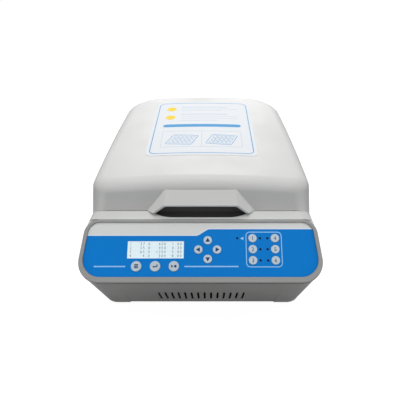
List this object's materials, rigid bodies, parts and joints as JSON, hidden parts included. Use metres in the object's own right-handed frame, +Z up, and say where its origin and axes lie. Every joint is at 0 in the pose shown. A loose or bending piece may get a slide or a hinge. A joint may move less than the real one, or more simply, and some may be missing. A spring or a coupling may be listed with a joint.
{
  "type": "thermal mixer",
  "caption": "Benchtop heated shaker with a hinged crowned lid, an orbiting platform with plate nests and a sloping keyed control panel.",
  "frame": {"origin": "on the bench under the middle of the overall box", "axes": "+Z up, the fascia faces -Y, +X to the right as seen from above with the front at the bottom"},
  "size_m": [0.3264, 0.4003, 0.2555],
  "materials": {
    "casing_plastic": "light grey moulded, fine texture",
    "lid_plastic": "light grey moulded, soft gloss",
    "rim_plastic": "mid grey moulded",
    "panel_film": "printed blue film with a silver strip",
    "display_lens": "clear window over a pale display",
    "key_plastic": "pale grey keys",
    "lamp": "dark lamp lenses",
    "board": "green circuit board",
    "module": "dark bezel",
    "black_plastic": "black moulded",
    "tub_plastic": "dark grey moulded",
    "aluminium": "machined, clear anodised",
    "steel": "ground",
    "sheet_steel": "painted sheet",
    "seal_rubber": "black silicone",
    "label_film": "white film with a blue border",
    "foam": "pale insulating foam",
    "heater_mat": "silicone heater mat",
    "brass": "turned"
  },
  "bodies": {
    "base": {"casing": "casing_plastic", "fascia_rim": "rim_plastic", "control_panel": "panel_film", "lcd_window": "display_lens", "lcd_module": "module", "control_board": "board", "status_lamps": "lamp", "chamber_tub": "tub_plastic", "chamber_gasket": "seal_rubber", "drive_chassis": "sheet_steel", "bearing_housings": "aluminium", "shaft_bearings": "steel", "drive_belt": "seal_rubber", "drive_motor": "sheet_steel", "motor_bracket": "sheet_steel", "power_supply": "board", "fan_frame": "black_plastic", "fan_guard": "black_plastic", "mains_inlet": "black_plastic", "switch_frame": "black_plastic", "bottom_plate": "sheet_steel", "bottom_screws": "steel", "rubber_feet": "seal_rubber", "hinge_brackets": "steel", "hinge_pins": "steel"},
    "lid": {"lid_shell": "lid_plastic", "lid_liner": "tub_plastic", "lid_heater": "aluminium", "lid_insulation": "foam", "lid_label": "label_film", "lid_screws": "steel", "hinge_arms": "steel"},
    "crank": {"crank_shaft": "steel", "counterweight": "brass", "crank_pulley": "aluminium"},
    "platform": {"platform": "aluminium", "nest_rails": "aluminium", "platform_bearings": "steel", "platform_heater": "heater_mat", "plate_clamps": "steel"},
    "motor_rotor": {"motor_pulley": "aluminium"},
    "fan_wheel": {"fan_rotor": "black_plastic"},
    "rocker": {"switch_rocker": "black_plastic"},
    "idler_front_left": {"idler_crank_front_left": "steel"},
    "idler_front_right": {"idler_crank_front_right": "steel"},
    "idler_rear_right": {"idler_crank_rear_right": "steel"},
    "idler_rear_left": {"idler_crank_rear_left": "steel"},
    "key_menu_body": {"key_menu": "key_plastic"},
    "key_enter_body": {"key_enter": "key_plastic"},
    "key_start_body": {"key_start": "key_plastic"},
    "key_up_body": {"key_up": "key_plastic"},
    "key_left_body": {"key_left": "key_plastic"},
    "key_right_body": {"key_right": "key_plastic"},
    "key_down_body": {"key_down": "key_plastic"},
    "key_preset_1_body": {"key_preset_1": "key_plastic"},
    "key_preset_2_body": {"key_preset_2": "key_plastic"},
    "key_preset_3_body": {"key_preset_3": "key_plastic"},
    "key_preset_4_body": {"key_preset_4": "key_plastic"},
    "key_preset_5_body": {"key_preset_5": "key_plastic"},
    "key_preset_6_body": {"key_preset_6": "key_plastic"}
  },
  "joints": [
    {"name": "lid_hinge", "type": "hinge", "parent": "base", "child": "lid", "pos_m": [0, 0.189, 0.164], "axis": [-1, 0, 0], "range_deg": [0, 75]},
    {"name": "crank_spin", "type": "hinge", "parent": "base", "child": "crank", "pos_m": [0, 0.00888, 0.11], "axis": [0, 0, 1], "continuous": true},
    {"name": "platform_pivot", "type": "hinge", "parent": "crank", "child": "platform", "pos_m": [0.0015, 0.00888, 0.145], "axis": [0, 0, 1], "continuous": true},
    {"name": "motor_spin", "type": "hinge", "parent": "base", "child": "motor_rotor", "pos_m": [0, 0.10088, 0.078], "axis": [0, 0, 1], "continuous": true},
    {"name": "fan_spin", "type": "hinge", "parent": "base", "child": "fan_wheel", "pos_m": [0.066, 0.188, 0.058], "axis": [0, 1, 0], "continuous": true},
    {"name": "rocker_tilt", "type": "hinge", "parent": "base", "child": "rocker", "pos_m": [-0.04, 0.194, 0.06], "axis": [1, 0, 0], "range_deg": [0, 16]},
    {"name": "idler_spin_front_left", "type": "hinge", "parent": "base", "child": "idler_front_left", "pos_m": [-0.096, -0.05312, 0.11], "axis": [0, 0, 1], "continuous": true},
    {"name": "idler_spin_front_right", "type": "hinge", "parent": "base", "child": "idler_front_right", "pos_m": [0.096, -0.05312, 0.11], "axis": [0, 0, 1], "continuous": true},
    {"name": "idler_spin_rear_right", "type": "hinge", "parent": "base", "child": "idler_rear_right", "pos_m": [0.096, 0.07088, 0.11], "axis": [0, 0, 1], "continuous": true},
    {"name": "idler_spin_rear_left", "type": "hinge", "parent": "base", "child": "idler_rear_left", "pos_m": [-0.096, 0.07088, 0.11], "axis": [0, 0, 1], "continuous": true},
    {"name": "key_menu_press", "type": "slide", "parent": "base", "child": "key_menu_body", "axis": [0, 0.7071, -0.7071], "range_m": [0, 0.0008], "stiffness_N_per_m": 600, "springref_m": -0.0005},
    {"name": "key_enter_press", "type": "slide", "parent": "base", "child": "key_enter_body", "axis": [0, 0.7071, -0.7071], "range_m": [0, 0.0008], "stiffness_N_per_m": 600, "springref_m": -0.0005},
    {"name": "key_start_press", "type": "slide", "parent": "base", "child": "key_start_body", "axis": [0, 0.7071, -0.7071], "range_m": [0, 0.0008], "stiffness_N_per_m": 600, "springref_m": -0.0005},
    {"name": "key_up_press", "type": "slide", "parent": "base", "child": "key_up_body", "axis": [0, 0.7071, -0.7071], "range_m": [0, 0.0008], "stiffness_N_per_m": 600, "springref_m": -0.0005},
    {"name": "key_left_press", "type": "slide", "parent": "base", "child": "key_left_body", "axis": [0, 0.7071, -0.7071], "range_m": [0, 0.0008], "stiffness_N_per_m": 600, "springref_m": -0.0005},
    {"name": "key_right_press", "type": "slide", "parent": "base", "child": "key_right_body", "axis": [0, 0.7071, -0.7071], "range_m": [0, 0.0008], "stiffness_N_per_m": 600, "springref_m": -0.0005},
    {"name": "key_down_press", "type": "slide", "parent": "base", "child": "key_down_body", "axis": [0, 0.7071, -0.7071], "range_m": [0, 0.0008], "stiffness_N_per_m": 600, "springref_m": -0.0005},
    {"name": "key_preset_1_press", "type": "slide", "parent": "base", "child": "key_preset_1_body", "axis": [0, 0.7071, -0.7071], "range_m": [0, 0.0008], "stiffness_N_per_m": 600, "springref_m": -0.0005},
    {"name": "key_preset_2_press", "type": "slide", "parent": "base", "child": "key_preset_2_body", "axis": [0, 0.7071, -0.7071], "range_m": [0, 0.0008], "stiffness_N_per_m": 600, "springref_m": -0.0005},
    {"name": "key_preset_3_press", "type": "slide", "parent": "base", "child": "key_preset_3_body", "axis": [0, 0.7071, -0.7071], "range_m": [0, 0.0008], "stiffness_N_per_m": 600, "springref_m": -0.0005},
    {"name": "key_preset_4_press", "type": "slide", "parent": "base", "child": "key_preset_4_body", "axis": [0, 0.7071, -0.7071], "range_m": [0, 0.0008], "stiffness_N_per_m": 600, "springref_m": -0.0005},
    {"name": "key_preset_5_press", "type": "slide", "parent": "base", "child": "key_preset_5_body", "axis": [0, 0.7071, -0.7071], "range_m": [0, 0.0008], "stiffness_N_per_m": 600, "springref_m": -0.0005},
    {"name": "key_preset_6_press", "type": "slide", "parent": "base", "child": "key_preset_6_body", "axis": [0, 0.7071, -0.7071], "range_m": [0, 0.0008], "stiffness_N_per_m": 600, "springref_m": -0.0005}
  ],
  "couplings": [
    {"joint": "platform_pivot", "follows": "crank_spin", "ratio": -1},
    {"joint": "motor_spin", "follows": "crank_spin", "ratio": 3.0909},
    {"joint": "idler_spin_front_left", "follows": "crank_spin", "ratio": 1},
    {"joint": "idler_spin_front_right", "follows": "crank_spin", "ratio": 1},
    {"joint": "idler_spin_rear_right", "follows": "crank_spin", "ratio": 1},
    {"joint": "idler_spin_rear_left", "follows": "crank_spin", "ratio": 1}
  ]
}
